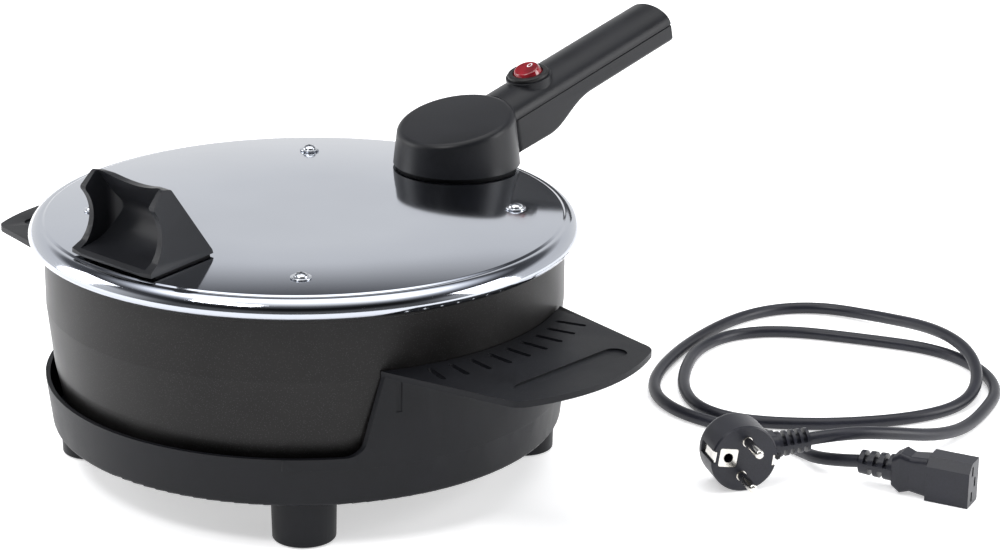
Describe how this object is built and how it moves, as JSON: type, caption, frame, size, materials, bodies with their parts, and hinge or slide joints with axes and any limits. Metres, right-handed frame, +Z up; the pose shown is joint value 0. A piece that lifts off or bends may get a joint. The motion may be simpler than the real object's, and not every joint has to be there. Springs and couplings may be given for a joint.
{
  "type": "electric covered pan",
  "caption": "Round electric covered baking pan: heated lid with long switched handle, non-stick pan, plastic stand with side handles and feet, detachable lead.",
  "frame": {"origin": "on the surface that the feet stand on, on the axis of the round pan and stand", "axes": "+Z up; +X along one side handle; +Y from the middle towards the long handle"},
  "size_m": [0.5166, 0.5244, 0.199],
  "materials": {
    "stand_plastic": "satin heat-resistant plastic, near black",
    "foot_rubber": "matt rubber",
    "screw_steel": "zinc plated",
    "nonstick_coat": "dark grey non-stick coat with a fine fleck",
    "lid_steel": "polished stainless steel",
    "reflector_aluminium": "bright aluminium",
    "element_steel": "heat-darkened steel tube",
    "insulation_wool": "pressed mineral wool",
    "bright_metal": "nickel plated",
    "handle_plastic": "satin heat-resistant plastic, charcoal",
    "inner_plastic": "matt black plastic",
    "rocker_red": "clear red plastic, lit from below",
    "lamp_glass": "clear lamp",
    "ceramic": "steatite-white insulator",
    "brass_blade": "bare brass",
    "wire_brown": "silicone sleeve, brown",
    "wire_blue": "silicone sleeve, blue",
    "wire_green": "silicone sleeve, green and yellow",
    "lead_pvc": "soft black PVC, faint sheen"
  },
  "bodies": {
    "stand": {"stand": "stand_plastic", "foot_1": "stand_plastic", "foot_2": "stand_plastic", "foot_3": "stand_plastic", "foot_4": "stand_plastic", "foot_pads": "foot_rubber", "foot_screws": "screw_steel"},
    "pan": {"pan_shell": "nonstick_coat"},
    "lid": {"lid_shell": "lid_steel", "reflector_plate": "reflector_aluminium", "heating_element": "element_steel", "element_clips": "screw_steel", "insulation_disc": "insulation_wool", "thermostat": "bright_metal", "lid_washers": "screw_steel", "lid_screws": "screw_steel", "lid_nuts": "screw_steel", "lid_spacers": "screw_steel", "grip_screws": "screw_steel", "hub_screws": "screw_steel", "front_grip": "handle_plastic", "grip_gasket": "foot_rubber", "hub_cover": "handle_plastic", "handle_upper_shell": "handle_plastic", "handle_lower_shell": "handle_plastic", "handle_screws": "screw_steel", "hub_gasket": "foot_rubber", "switch_housing": "inner_plastic", "switch_lamp": "lamp_glass", "switch_terminals": "brass_blade", "inlet_body": "inner_plastic", "inlet_pins": "bright_metal", "terminal_block": "ceramic", "terminal_links": "brass_blade", "earth_tab": "brass_blade", "wire_live": "wire_brown", "wire_switched": "wire_brown", "wire_neutral": "wire_blue", "wire_earth": "wire_green"},
    "rocker": {"switch_rocker": "rocker_red"},
    "lead": {"plug_body": "lead_pvc", "plug_pins": "bright_metal", "plug_earth_clips": "bright_metal", "plug_relief": "lead_pvc", "lead_cord": "lead_pvc", "connector_body": "lead_pvc", "connector_contacts": "bright_metal", "connector_relief": "lead_pvc"}
  },
  "joints": [
    {"name": "pan_lift", "type": "slide", "parent": "stand", "child": "pan", "axis": [0, 0, 1], "range_m": [0, 0.12]},
    {"name": "lid_lift", "type": "slide", "parent": "pan", "child": "lid", "axis": [0, 0, 1], "range_m": [0, 0.15]},
    {"name": "rocker_tilt", "type": "hinge", "parent": "lid", "child": "rocker", "pos_m": [0, 0.17552, 0.1752], "axis": [1, 0, 0], "range_deg": [-18, 0]},
    {"name": "lead_lift", "type": "slide", "parent": "stand", "child": "lead", "axis": [0, 0, 1], "range_m": [0, 0.1]}
  ]
}
